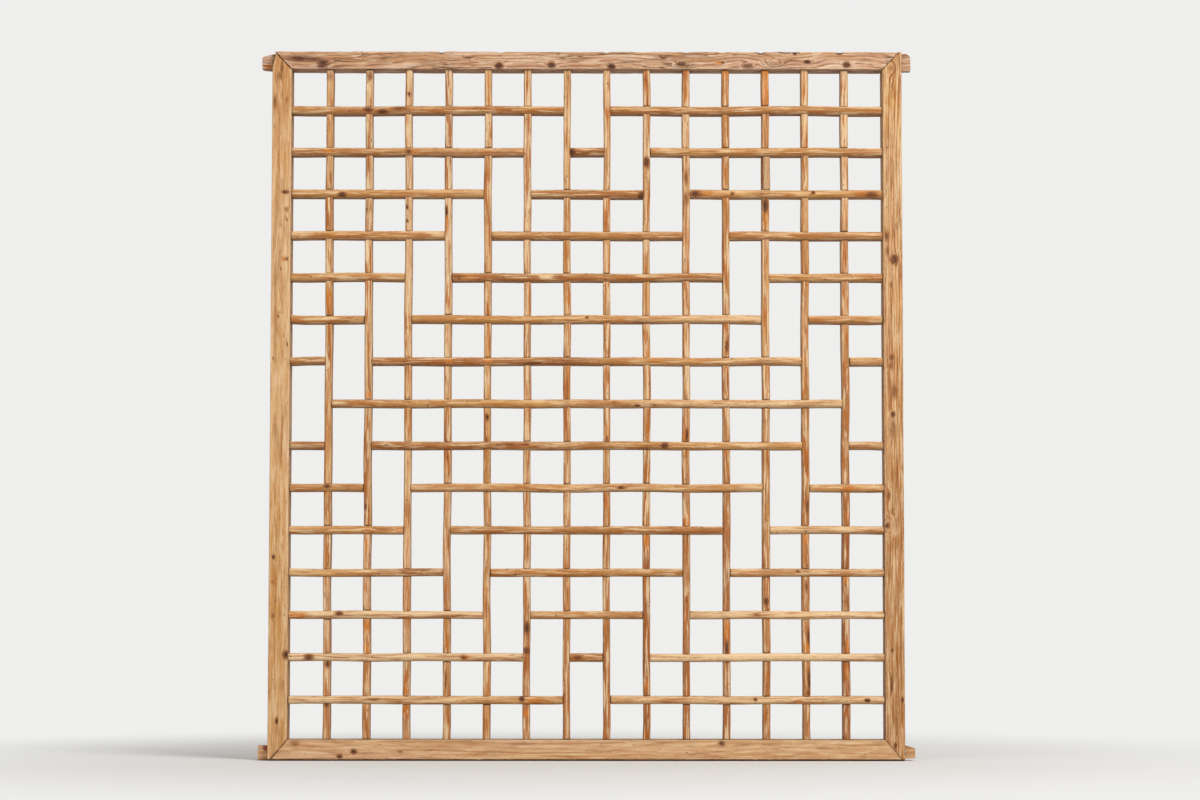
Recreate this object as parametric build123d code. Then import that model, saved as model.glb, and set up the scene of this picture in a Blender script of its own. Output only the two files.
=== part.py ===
from build123d import *
from dataclasses import dataclass
import os

# Lattice window panel in weathered softwood: a mitred frame whose rails run through
# the stiles as horned tenons, round a half-lapped lattice of slim bars.
# Millimetres. X runs along the panel, Y from its front (low) to its back, Z up.
# The origin is the middle of the panel's underside.

# Frame
panel_width = 900.0
panel_height = 1010.0
frame_depth = 40.0
stile_width = 28.0
top_rail_width = 26.0
bottom_rail_width = 30.0
arris_radius = 1.5

# Corner joints: a mitred layer on the front, and a through tenon behind it
mitre_layer = 12.0
mitre_toe = 3.0
tenon_thickness = 16.0
joint_gap = 0.1

# Worn taper on the outer edge of the left stile's top end
worn_taper_width = 5.5
worn_taper_height = 28.0

# Lattice: the crossbars are crowned, and the uprights are flat with planed arrises
upright_count = 14
row_count = 15
upright_face = 10.4
upright_arris = 1.8
upright_setback = 3.8
row_face = 11.5
crown_height = 2.4
crossbar_setback = 3.0
crossbar_depth = 24.0
lap_depth = 12.0
side_cell_width = 49.0
top_cell_height = 52.5
bottom_cell_height = 49.5

# Stub tenons on the ends of the bars
stub_thickness = 8.0
stub_shoulder = 1.5
frame_stub_length = 9.0
bar_stub_length = 3.5

# Repair let into the front of one upright, counted from the left, below one row,
# counted from the top
patch_upright = 12
patch_upper_row = 2
patch_shift = 2.0
patch_gap = 0.8


@dataclass
class Horn:
    """End of a rail that stands out past the stile, seen from the front.

    near and far are measured from the rail's outer edge towards the middle of the
    panel, at the stile (root) and at the free end (tip).
    """

    reach: float
    near_root: float
    near_tip: float
    far_root: float
    far_tip: float
    corner_radius: float


# The four horns differ, as each was trimmed by hand
tip_bevel = 2.0
horn_top_left = Horn(
    reach=16.0,
    near_root=2.5,
    near_tip=6.5,
    far_root=top_rail_width,
    far_tip=top_rail_width - tip_bevel,
    corner_radius=3.0,
)
horn_top_right = Horn(
    reach=14.0,
    near_root=1.0,
    near_tip=1.0,
    far_root=top_rail_width,
    far_tip=top_rail_width,
    corner_radius=8.0,
)
horn_bottom_left = Horn(
    reach=14.5,
    near_root=0.5,
    near_tip=0.5,
    far_root=21.0,
    far_tip=21.0,
    corner_radius=1.0,
)
horn_bottom_right = Horn(
    reach=15.0,
    near_root=3.0,
    near_tip=3.5,
    far_root=22.0,
    far_tip=17.5,
    corner_radius=1.5,
)

# Planes and pitches that follow from the sizes above
front_y = -frame_depth / 2
mitre_y = front_y + mitre_layer
crossbar_front_y = front_y + crossbar_setback
upright_front_y = front_y + upright_setback
lap_y = crossbar_front_y + lap_depth
lattice_back_y = crossbar_front_y + crossbar_depth
stub_y = (crossbar_front_y + lattice_back_y) / 2
outer_x = panel_width / 2
inner_x = outer_x - stile_width
low_z = bottom_rail_width
high_z = panel_height - top_rail_width
clear_width = 2 * inner_x
clear_height = high_z - low_z
upright_pitch = (clear_width - 2 * side_cell_width - upright_face) / (upright_count - 1)
row_pitch = (clear_height - top_cell_height - bottom_cell_height - row_face) / (row_count - 1)
cell_count = upright_count + 1


def upright_x(number):
    """Centre line of an upright, counted from 1 at the left."""
    return -inner_x + side_cell_width + upright_face / 2 + (number - 1) * upright_pitch


def row_z(number):
    """Centre line of a row of crossbars, counted from 1 at the top."""
    return high_z - top_cell_height - row_face / 2 - (number - 1) * row_pitch


def block(low, high):
    """Box between two opposite corners."""
    size = [top - bottom for bottom, top in zip(low, high)]
    return Pos(*low) * Box(*size, align=(Align.MIN, Align.MIN, Align.MIN))


def front_prism(points, y_low, y_high):
    """Outline of X and Z points, given thickness from y_low to y_high."""
    outline = make_face(Polyline(*points, close=True))
    return Pos(0, y_high, 0) * extrude(Plane.XZ * outline, amount=y_high - y_low)


def crossbar_section():
    """Section of a crossbar across its length: its crown touches y = 0."""
    half, depth = row_face / 2, crossbar_depth
    crown = ThreePointArc((-half, crown_height), (0, 0), (half, crown_height))
    walls = Polyline((half, crown_height), (half, depth), (-half, depth), (-half, crown_height))
    return make_face(crown + walls)


def upright_section(back_y):
    """Section of an upright from its front face to back_y, centred on x = 0."""
    half, front = upright_face / 2, upright_front_y
    arris_x, arris_y = half - upright_arris, front + upright_arris
    corners = [(-half, arris_y), (-arris_x, front), (arris_x, front), (half, arris_y)]
    return make_face(Polyline(*corners, (half, back_y), (-half, back_y), close=True))


def frame_section(width):
    """Section of a frame member, with its four long arrises eased."""
    blank = Rectangle(width, frame_depth)
    return fillet(blank.vertices(), arris_radius)


def open_cells(row):
    """Cells of a row that no crossbar crosses: they step out into a diamond."""
    step = abs((row_count + 1) // 2 - row)
    return {step, upright_count - step}


def crossbar_runs(row):
    """Crossbars of one row, as (first cell, last cell) pairs between the open cells."""
    runs = []
    start = None
    for cell in range(cell_count + 1):
        closed = cell < cell_count and cell not in open_cells(row)
        if closed and start is None:
            start = cell
        if not closed and start is not None:
            runs.append((start, cell - 1))
            start = None
    return runs


def run_name(row, first, last):
    """Node name of a crossbar, from the side of the panel that it lies on."""
    if first == 0:
        side = "left"
    elif last == cell_count - 1:
        side = "right"
    else:
        side = "middle"
    return f"crossbar_{row:02d}_{side}"


def stub_box(face, length, gap=0.0):
    """Stub tenon of a bar, or its socket where a gap is given: long in Z, based at z = 0."""
    width = face - 2 * stub_shoulder + 2 * gap
    return Box(
        width,
        stub_thickness + 2 * gap,
        length + gap,
        align=(Align.CENTER, Align.CENTER, Align.MIN),
    )


def mitre_corner(side, top):
    """Corner of the frame, as (inner x, outer x, toe x, inner z, outer z)."""
    inner_z, outer_z = (high_z, panel_height) if top else (low_z, 0.0)
    return side * inner_x, side * outer_x, side * (outer_x - mitre_toe), inner_z, outer_z


def rail_side_of_mitre(side, top):
    """Part of the mitred layer that belongs to the rail."""
    x_in, _, x_toe, z_in, z_out = mitre_corner(side, top)
    return front_prism([(x_in, z_in), (x_in, z_out), (x_toe, z_out)], front_y, mitre_y)


def stile_side_of_mitre(side, top):
    """Part of the mitred layer that belongs to the stile."""
    x_in, x_out, x_toe, z_in, z_out = mitre_corner(side, top)
    outline = [(x_in, z_in), (x_toe, z_out), (x_out, z_out), (x_out, z_in)]
    return front_prism(outline, front_y, mitre_y)


def horn_tenon(horn, side, top):
    """Tenon that runs from the rail through the stile and ends as its horn."""
    inward = -1 if top else 1
    edge = panel_height if top else 0.0
    x_in, x_out = side * inner_x, side * outer_x
    x_tip = side * (outer_x + horn.reach)
    near, far = edge + inward * horn.near_root, edge + inward * horn.far_root
    outline = [
        (x_in, near),
        (x_out, near),
        (x_tip, edge + inward * horn.near_tip),
        (x_tip, edge + inward * horn.far_tip),
        (x_out, far),
        (x_in, far),
    ]
    tenon = front_prism(outline, mitre_y, mitre_y + tenon_thickness)
    along_y = tenon.edges().filter_by(Axis.Y).sort_by(Axis.X)
    tip = along_y[-2:] if side > 0 else along_y[:2]
    outer_corner = tip.sort_by(Axis.Z)[-1 if top else 0]
    return fillet(outer_corner, horn.corner_radius)


def tenon_mortise(horn, side, top):
    """Mortise through the stile for the rail's tenon."""
    inward = -1 if top else 1
    edge = panel_height if top else 0.0
    levels = sorted(edge + inward * z for z in (horn.near_root, horn.far_root))
    walls = sorted((side * inner_x, side * outer_x))
    return block(
        (walls[0], mitre_y - joint_gap, levels[0] - joint_gap),
        (walls[1], mitre_y + tenon_thickness + joint_gap, levels[1] + joint_gap),
    )


def make_rail(top, width, horns):
    """Rail from mitre to mitre, with a horned tenon at each end and upright sockets."""
    middle_z = panel_height - width / 2 if top else width / 2
    section = Plane.YZ * Rot(0, 0, 90) * frame_section(width)
    rail = Pos(-outer_x, 0, middle_z) * extrude(section, amount=panel_width)
    for side, horn in zip((-1, 1), horns):
        walls = sorted((side * inner_x, side * outer_x))
        levels = sorted(mitre_corner(side, top)[3:])
        behind = block((walls[0], mitre_y, levels[0]), (walls[1], -front_y, levels[1]))
        rail = rail - behind - stile_side_of_mitre(side, top) + horn_tenon(horn, side, top)
    turn = 0 if top else 180
    face_z = high_z if top else low_z
    for number in range(1, upright_count + 1):
        socket = stub_box(upright_face, frame_stub_length, joint_gap)
        rail -= Pos(upright_x(number), stub_y, face_z) * Rot(turn, 0, 0) * socket
    return rail


def make_stile(side, horn_top, horn_bottom):
    """Stile over the full height, mortised for both rails and socketed for the crossbars."""
    section = frame_section(stile_width)
    middle_x = side * (outer_x - stile_width / 2)
    stile = Pos(middle_x, 0, 0) * extrude(section, amount=panel_height)
    for top, horn in ((True, horn_top), (False, horn_bottom)):
        stile = stile - rail_side_of_mitre(side, top) - tenon_mortise(horn, side, top)
    edge_cell = 0 if side < 0 else cell_count - 1
    for row in range(1, row_count + 1):
        if edge_cell not in open_cells(row):
            socket = stub_box(row_face, frame_stub_length, joint_gap)
            stile -= Pos(side * inner_x, stub_y, row_z(row)) * Rot(0, side * 90, 0) * socket
    return stile


def worn_taper():
    """Wedge worn off the outer edge of the left stile's top end."""
    outline = [
        (-outer_x, panel_height - worn_taper_height),
        (-outer_x, panel_height),
        (-outer_x + worn_taper_width, panel_height),
    ]
    return front_prism(outline, front_y, -front_y)


def make_upright(number):
    """Upright bar from rail to rail: its front half is cut away where rows cross it."""
    x = upright_x(number)
    half = upright_face / 2
    bar = Pos(x, 0, low_z) * extrude(upright_section(lattice_back_y), amount=clear_height)
    stub = stub_box(upright_face, frame_stub_length)
    bar += Pos(x, stub_y, high_z) * stub
    bar += Pos(x, stub_y, low_z) * Rot(180, 0, 0) * stub
    for row in range(1, row_count + 1):
        z = row_z(row)
        reach = row_face / 2 + joint_gap
        open_set = open_cells(row)
        if number - 1 not in open_set and number not in open_set:
            bar -= block((x - half, front_y, z - reach), (x + half, lap_y, z + reach))
        else:
            side = 1 if number - 1 in open_set else -1
            socket = stub_box(row_face, bar_stub_length, joint_gap)
            bar -= Pos(x + side * half, stub_y, z) * Rot(0, -side * 90, 0) * socket
    return bar


def patch_recess():
    """Front half of the patched upright, from one row's lap to the next."""
    x = upright_x(patch_upright)
    half = upright_face / 2
    low = (x - half, front_y, row_z(patch_upper_row + 1))
    return block(low, (x + half, lap_y, row_z(patch_upper_row)))


def make_patch():
    """Short piece let into the upright, set a little to one side."""
    below = row_z(patch_upper_row + 1) + row_face / 2 + patch_gap
    above = row_z(patch_upper_row) - row_face / 2 - patch_gap
    patch = extrude(upright_section(lap_y), amount=above - below)
    return Pos(upright_x(patch_upright) + patch_shift, 0, below) * patch


def make_crossbar(row, first, last):
    """Crossbar over a run of cells: its back half is cut away where it crosses an upright."""
    z = row_z(row)
    half = row_face / 2
    from_stile, to_stile = first == 0, last == cell_count - 1
    left = -inner_x if from_stile else upright_x(first) + upright_face / 2
    right = inner_x if to_stile else upright_x(last + 1) - upright_face / 2
    section = Plane.YZ * Rot(0, 0, -90) * crossbar_section()
    bar = Pos(left, crossbar_front_y, z) * extrude(section, amount=right - left)
    left_stub = stub_box(row_face, frame_stub_length if from_stile else bar_stub_length)
    right_stub = stub_box(row_face, frame_stub_length if to_stile else bar_stub_length)
    bar += Pos(left, stub_y, z) * Rot(0, -90, 0) * left_stub
    bar += Pos(right, stub_y, z) * Rot(0, 90, 0) * right_stub
    reach = upright_face / 2 + joint_gap
    for number in range(first + 1, last + 1):
        x = upright_x(number)
        bar -= block((x - reach, lap_y, z - half), (x + reach, lattice_back_y, z + half))
    return bar


def make_panel():
    """Every piece of the panel, by node name."""
    pieces = {
        "rail_top": make_rail(True, top_rail_width, (horn_top_left, horn_top_right)),
        "rail_bottom": make_rail(False, bottom_rail_width, (horn_bottom_left, horn_bottom_right)),
        "stile_left": make_stile(-1, horn_top_left, horn_bottom_left) - worn_taper(),
        "stile_right": make_stile(1, horn_top_right, horn_bottom_right),
    }
    for number in range(1, upright_count + 1):
        pieces[f"upright_{number:02d}"] = make_upright(number)
    patched = f"upright_{patch_upright:02d}"
    pieces[patched] -= patch_recess()
    pieces[f"{patched}_patch"] = make_patch()
    for row in range(1, row_count + 1):
        for first, last in crossbar_runs(row):
            pieces[run_name(row, first, last)] = make_crossbar(row, first, last)
    return pieces


os.makedirs("parts", exist_ok=True)
for node, piece in make_panel().items():
    export_step(piece, f"parts/{node}.step")
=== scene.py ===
"""Lattice window panel: worn forms and aged wood for each packed stick, and its studio."""

import logging
import math
from bisect import bisect_left
from dataclasses import dataclass, fields
from enum import Enum
from functools import partial
from operator import itemgetter
from random import Random
from typing import Iterable, Union

import bmesh
import bpy
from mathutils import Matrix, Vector, noise


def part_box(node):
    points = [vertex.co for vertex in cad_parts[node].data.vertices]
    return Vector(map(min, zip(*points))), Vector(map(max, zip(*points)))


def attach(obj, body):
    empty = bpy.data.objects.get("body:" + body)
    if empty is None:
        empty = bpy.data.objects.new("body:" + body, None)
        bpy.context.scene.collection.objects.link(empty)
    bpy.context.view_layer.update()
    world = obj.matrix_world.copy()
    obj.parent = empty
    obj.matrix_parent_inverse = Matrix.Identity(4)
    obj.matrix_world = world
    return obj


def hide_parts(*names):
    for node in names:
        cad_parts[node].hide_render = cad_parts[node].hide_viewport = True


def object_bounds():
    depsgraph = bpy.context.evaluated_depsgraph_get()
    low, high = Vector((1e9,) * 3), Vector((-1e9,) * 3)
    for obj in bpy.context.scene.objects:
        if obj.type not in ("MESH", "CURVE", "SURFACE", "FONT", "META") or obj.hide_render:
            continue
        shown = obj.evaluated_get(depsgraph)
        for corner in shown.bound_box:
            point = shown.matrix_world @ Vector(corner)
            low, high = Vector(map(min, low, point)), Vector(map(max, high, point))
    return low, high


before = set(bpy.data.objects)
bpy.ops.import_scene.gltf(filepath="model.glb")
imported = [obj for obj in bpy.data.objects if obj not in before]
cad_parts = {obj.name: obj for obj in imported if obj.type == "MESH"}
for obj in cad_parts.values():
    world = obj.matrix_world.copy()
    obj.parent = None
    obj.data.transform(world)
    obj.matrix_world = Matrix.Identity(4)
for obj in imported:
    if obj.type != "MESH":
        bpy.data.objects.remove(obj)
cad_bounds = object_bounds()

log = logging.getLogger("lattice_panel")
Socket = bpy.types.NodeSocket
Value = Union[float, Socket]
Colour = tuple[float, float, float]
Parts = tuple[Socket, Socket, Socket]

BODY = "root"
MERGE_DISTANCE = 1e-5
SAME_PLANE = 1e-6
DEPTH = 1
FLAT_ANGLE = math.radians(0.4)
SHARP_ANGLE = math.radians(48)
SQUARE_ON = 0.99
HORN_ROOT = 0.4495
HORN_SET_BACK = 0.012
SPOT_DEPTH = 0.014
GRAIN_SLANT = 0.7
BELL_END = 9.0
HEART_ACROSS = (0.004, 0.035)
HEART_DEPTH = (0.012, 0.05)
LOG_START = (0.0, 40.0)
OWN_TONE = (-0.1, 0.12)
SEED_FACTOR = 7


class Grain(Enum):
    """Which axis the wood fibres of a stick follow."""

    LEVEL = 0
    UPRIGHT = 2

    @property
    def across(self) -> int:
        """The other axis of the panel's plane."""
        return 2 - self.value


class Mark(Enum):
    """What kind of old mark a spot on the wood is."""

    CHAR = 0
    RESIN = 1
    BLEACH = 2
    PAINT = 3


def paint(code: str) -> Colour:
    """A colour code as the screen shows it, turned into linear light.

    Args:
        code: Six hexadecimal digits.

    Returns:
        Red, green and blue in linear light.
    """
    parts = [int(code[i:i + 2], 16) / 255 for i in (0, 2, 4)]
    return tuple(p / 12.92 if p <= 0.04045 else ((p + 0.055) / 1.055) ** 2.4 for p in parts)


def ease(value: float) -> float:
    """A smooth step from 0 to 1 over the same range."""
    held = min(1.0, max(0.0, value))
    return held * held * (3 - 2 * held)


def bell(square: float) -> float:
    """Falls from 1 to nothing with the square of a distance, counted in reaches."""
    return math.exp(-square) if square < BELL_END else 0.0


@dataclass(frozen=True)
class Spot:
    """One knot, burn, stain or bleached place on a stick.

    Its place along the stick is on the panel's own axis, and its place across is from the
    stick's middle line. A knot swells the rings that pass it.
    """

    kind: Mark
    along: float
    reach: float
    across: float
    spread: float
    strength: float
    swell: float

    @classmethod
    def in_mm(cls, kind: Mark, along: float, reach: float = 6, across: float = 0,
              spread: float = 7, strength: float = 1.0, swell: float = 1.2) -> "Spot":
        """A spot whose lengths are in millimetres.

        Args:
            kind: What kind of mark it is.
            along: Its place along the stick.
            reach: Half its length.
            across: Its place across the stick.
            spread: Half its width.
            strength: How strong its colour is, from 0 to 1.
            swell: How far it pushes the rings out.

        Returns:
            The spot.
        """
        lengths = (length / 1000 for length in (along, reach, across, spread))
        return cls(kind, *lengths, strength, swell / 1000)

    def nearness(self, along: float, across: float) -> float:
        """How near a point of the stick's front is to the spot, from 0 to 1."""
        ahead = (along - self.along) / self.reach
        return bell(ahead ** 2 + ((across - self.across) / self.spread) ** 2)


@dataclass(frozen=True)
class Nick:
    """A dent in the outer front edge of a frame member."""

    along: float
    reach: float = 0.004
    depth: float = 0.0012

    def bite(self, along: float) -> float:
        """How deep the dent is at this place along the member."""
        return self.depth * bell(((along - self.along) / self.reach) ** 2)


@dataclass(frozen=True)
class Opening:
    """The clear opening inside the outer frame, which the lattice fills."""

    left: float
    right: float
    low: float
    high: float

    @classmethod
    def of_frame(cls) -> "Opening":
        """Reads the opening from the boxes of the four frame members."""
        return cls(
            left=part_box("stile_left")[1].x,
            right=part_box("stile_right")[0].x,
            low=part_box("rail_bottom")[1].z,
            high=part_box("rail_top")[0].z,
        )


@dataclass(frozen=True)
class HandWork:
    """The unevenness of hand-planed bars: one smooth field, so that the joints stay shut."""

    opening: Opening
    reach: float = 0.0013
    wave_along: float = 0.095
    wave_across: float = 0.036
    sideways_layer: float = 3.1
    upward_layer: float = 7.7
    fade: float = 0.022

    def drift(self, place: Vector) -> Vector:
        """How far the field moves a point of the lattice.

        Args:
            place: The point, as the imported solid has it.

        Returns:
            The move, in the panel's plane, which dies out at the outer frame.
        """
        sides = (place.x - self.opening.left, self.opening.right - place.x)
        ends = (place.z - self.opening.low, self.opening.high - place.z)
        hold = ease(min(*sides, *ends) / self.fade)
        if hold == 0:
            return Vector()
        wide, long = self.wave_across, self.wave_along
        sideways = noise.noise(Vector((place.x / wide, self.sideways_layer, place.z / long)))
        upward = noise.noise(Vector((place.x / long, self.upward_layer, place.z / wide)))
        return Vector((sideways, 0, upward)) * self.reach * hold


@dataclass(frozen=True)
class Log:
    """Where in its tree a stick was sawn: the tree's heart beside it, and its rings' bends."""

    heart_across: float
    heart_depth: float
    start: float
    bend: float = 0.0022
    bend_length: float = 0.16
    bend_width: float = 0.05
    ripple: float = 0.0006
    ripple_length: float = 0.045
    ripple_width: float = 0.02
    ripple_layer: float = 9.0

    @classmethod
    def drawn(cls, dice: Random, bend: float) -> "Log":
        """A log with its heart somewhere behind the stick."""
        side = dice.choice((-1, 1))
        return cls(
            heart_across=side * dice.uniform(*HEART_ACROSS),
            heart_depth=dice.uniform(*HEART_DEPTH),
            start=dice.uniform(*LOG_START),
            bend=bend,
        )

    def ring_radius(self, along: float, across: float, depth: float,
                    spots: Iterable[Spot]) -> float:
        """Distance from the heart, bent as the rings are.

        Args:
            along: Place along the stick.
            across: Place across it, from its middle line.
            depth: Place from front to back.
            spots: The knots that swell the rings.

        Returns:
            The radius of the ring that passes there.
        """
        shift = self.start + along
        broad, fine = self.bend_width, self.ripple_width
        slow = Vector((shift / self.bend_length, across / broad, depth / broad))
        layer = across / fine + self.ripple_layer
        quick = Vector((shift / self.ripple_length, layer, depth / fine))
        radius = math.hypot(across - self.heart_across, depth - self.heart_depth)
        radius += self.bend * noise.noise(slow) + self.ripple * noise.noise(quick)
        for spot in spots:
            if spot.swell:
                radius += spot.swell * spot.nearness(along, across)
        return radius


class Figure(Enum):
    """The patterns in the wood.

    Each holds how many features a metre has along the grain, over the rings and across, where
    it starts along the grain, and how many finer layers it has.
    """

    RING_RIPPLE = ((22, 300, 190), 0.0, 3)
    RING_PATCHES = ((5, 120, 70), 57.0, 1)
    GROUND = ((4, 60, 40), 0.0, 2)
    BLUSH = ((6, 90, 55), 31.0, 2)
    STREAKS = ((18, 420, 300), 11.0, 2)
    FADED = ((19, 460, 330), 77.0, 2)
    CLOUDS = ((26, 170, 130), 43.0, 3)
    SPLITS = ((7, 210, 120), 91.0, 2)
    SPLIT_PLACES = ((6, 70, 50), 23.0, 2)
    RAGGED = ((150, 640, 560), 3.0, 4)
    FIBRES = ((60, 2300, 1900), 0.0, 2)
    PORES = ((170, 3600, 3300), 5.0, 1)
    PITS = ((110, 520, 430), 19.0, 1)


class NodeSketch:
    """Adds shader nodes to one material or world and joins them."""

    def __init__(self, holder: Union[bpy.types.Material, bpy.types.World]) -> None:
        """Clears the holder's tree."""
        self.holder = holder
        holder.use_nodes = True
        self.tree = holder.node_tree
        self.tree.nodes.clear()

    def place(self, kind: str, **settings: object) -> bpy.types.Node:
        """A new node of that kind, with its own settings."""
        node = self.tree.nodes.new("ShaderNode" + kind)
        for name, value in settings.items():
            setattr(node, name, value)
        return node

    def feed(self, socket: Socket, value: object) -> None:
        """Links a socket to another socket, or sets it to a plain value."""
        if isinstance(value, bpy.types.NodeSocket):
            self.tree.links.new(value, socket)
        elif isinstance(value, tuple) and len(value) == 3 and socket.type == "RGBA":
            socket.default_value = (*value, 1.0)
        else:
            socket.default_value = value

    def split(self, attribute: str) -> Parts:
        """The three parts of one of the mesh's own vector attributes."""
        read = self.place("Attribute", attribute_name=attribute)
        parts = self.place("SeparateXYZ")
        self.feed(parts.inputs[0], read.outputs["Vector"])
        return tuple(parts.outputs)

    def vector(self, x: Value, y: Value, z: Value) -> Socket:
        """Three values as one vector."""
        node = self.place("CombineXYZ")
        for socket, value in zip(node.inputs, (x, y, z)):
            self.feed(socket, value)
        return node.outputs[0]

    def math(self, operation: str, first: Value, second: Value = 0.0,
             clamp: bool = False) -> Socket:
        """One sum of two values."""
        node = self.place("Math", operation=operation, use_clamp=clamp)
        self.feed(node.inputs[0], first)
        self.feed(node.inputs[1], second)
        return node.outputs[0]

    def scaled(self, value: Value, factor: float, offset: float = 0.0) -> Socket:
        """A value times a factor, moved by an offset."""
        node = self.place("Math", operation="MULTIPLY_ADD")
        for socket, part in zip(node.inputs, (value, factor, offset)):
            self.feed(socket, part)
        return node.outputs[0]

    def step(self, value: Socket, low: float, high: float, top: float = 1.0) -> Socket:
        """A smooth step from 0 at low to top at high."""
        node = self.place("MapRange", interpolation_type="SMOOTHSTEP")
        ends = {"Value": value, "From Min": low, "From Max": high, "To Max": top}
        for name, number in ends.items():
            self.feed(node.inputs[name], number)
        return node.outputs["Result"]

    def blend(self, amount: Value, under: object, over: object) -> Socket:
        """One colour over another."""
        node = self.place("Mix", data_type="RGBA", clamp_factor=True)
        self.feed(node.inputs["Factor"], amount)
        self.feed(node.inputs[6], under)
        self.feed(node.inputs[7], over)
        return node.outputs[2]

    def layered(self, colour: Socket, *layers: tuple) -> Socket:
        """Lays colours over each other in turn.

        Args:
            colour: The lowest colour.
            layers: For each, its mask, the step's low and high end, its strength and colour.

        Returns:
            The colour on top.
        """
        for mask, low, high, top, over in layers:
            colour = self.blend(self.step(mask, low, high, top), colour, over)
        return colour

    def output(self, kind: str, shader: Socket) -> None:
        """Ends the tree in the output of a material or of the world."""
        self.feed(self.place("Output" + kind).inputs["Surface"], shader)

    def mixed(self, amount: Socket, under: bpy.types.Node, over: bpy.types.Node) -> Socket:
        """One shader over another."""
        mix = self.place("MixShader")
        for socket, part in zip(mix.inputs, (amount, under.outputs[0], over.outputs[0])):
            self.feed(socket, part)
        return mix.outputs[0]


class WoodSketch(NodeSketch):
    """The nodes of one wood, which follow the grain that each stick's mesh carries."""

    def __init__(self, name: str) -> None:
        """Makes the material and reads the place along, the ring radius and the place across."""
        super().__init__(bpy.data.materials.new(name))
        self.grain = self.split("grain")

    def pattern(self, figure: Figure) -> Socket:
        """A smooth noise from 0 to 1, drawn out along the grain."""
        scales, start, detail = figure.value
        along, radius, across = map(self.scaled, self.grain, scales)
        place = self.vector(self.math("ADD", along, start), radius, across)
        node = self.place("TexNoise", noise_dimensions="3D")
        for name, value in (("Vector", place), ("Scale", 1.0), ("Detail", detail)):
            self.feed(node.inputs[name], value)
        return node.outputs["Fac"]


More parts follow.
